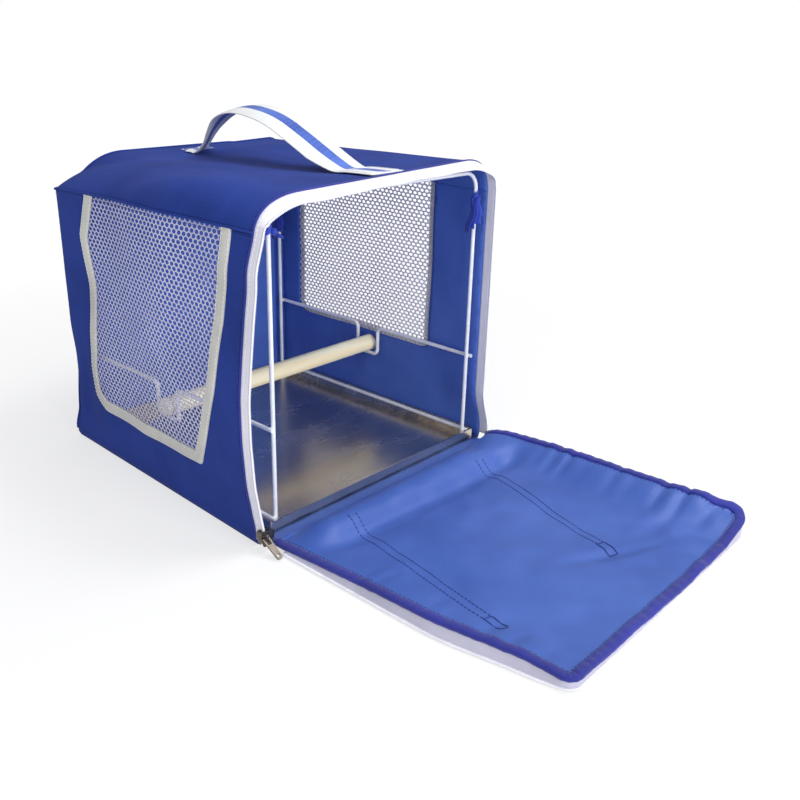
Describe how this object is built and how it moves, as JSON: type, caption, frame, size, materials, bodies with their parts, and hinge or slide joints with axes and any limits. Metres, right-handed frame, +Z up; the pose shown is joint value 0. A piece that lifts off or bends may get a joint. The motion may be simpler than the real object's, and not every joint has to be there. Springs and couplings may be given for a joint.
{
  "type": "bird travel carrier",
  "caption": "Soft blue bird travel carrier with mesh side windows, a zipped fold-down door, a wire frame, a metal tray and a wooden perch.",
  "frame": {"origin": "centre of the base on the surface it stands on, midway between the frame's uprights", "axes": "+X right as seen from the door, -Y front (the door), +Z up"},
  "size_m": [0.292, 0.554, 0.3061],
  "materials": {
    "blue_fabric": "satin",
    "blue_binding": "satin",
    "white_mesh": "matte",
    "white_tape": "matte",
    "white_coil": "satin",
    "white_webbing": "matte",
    "coated_wire": "gloss",
    "tray_steel": "polished",
    "perch_wood": "matte",
    "slider_metal": "satin"
  },
  "bodies": {
    "cover_and_frame": {"front_arch_wire": "coated_wire", "rear_arch_wire": "coated_wire", "left_bottom_rail": "coated_wire", "right_bottom_rail": "coated_wire", "left_perch_rail": "coated_wire", "right_perch_rail": "coated_wire", "tray": "tray_steel", "top_panel": "blue_fabric", "left_side_panel": "blue_fabric", "right_side_panel": "blue_fabric", "left_window_mesh": "white_mesh", "right_window_mesh": "white_mesh", "left_window_binding": "white_tape", "right_window_binding": "white_tape", "back_panel": "blue_fabric", "bottom_panel": "blue_fabric", "opening_zip_tape": "white_tape", "opening_zip_coil": "white_coil", "zip_end_stop": "slider_metal", "opening_piping": "blue_binding", "handle_webbing": "white_webbing", "front_left_tie": "blue_binding", "front_right_tie": "blue_binding", "rear_left_tie": "blue_binding", "rear_right_tie": "blue_binding"},
    "door": {"door_panel": "blue_fabric", "door_edge_binding": "blue_binding", "door_zip_tape": "white_tape", "door_zip_coil": "white_coil", "door_pocket_mesh": "white_mesh", "door_pocket_binding": "blue_binding"},
    "perch_bar": {"perch": "perch_wood"},
    "slider": {"zip_slider": "slider_metal"},
    "pull": {"zip_pull_tab": "slider_metal"}
  },
  "joints": [
    {"name": "door_hinge", "type": "hinge", "parent": "cover_and_frame", "child": "door", "pos_m": [0, -0.149, 0.0012], "axis": [-1, 0, 0], "range_deg": [0, 90]},
    {"name": "perch_lift", "type": "slide", "parent": "cover_and_frame", "child": "perch_bar", "axis": [0, 0, 1], "range_m": [0, 0.035]},
    {"name": "zip_slide", "type": "slide", "parent": "cover_and_frame", "child": "slider", "axis": [0, 0, 1], "range_m": [0, 0.2]},
    {"name": "pull_swing", "type": "hinge", "parent": "slider", "child": "pull", "pos_m": [-0.1482, -0.15255, 0.0115], "axis": [-1, 0, 0], "range_deg": [0, 120]}
  ]
}
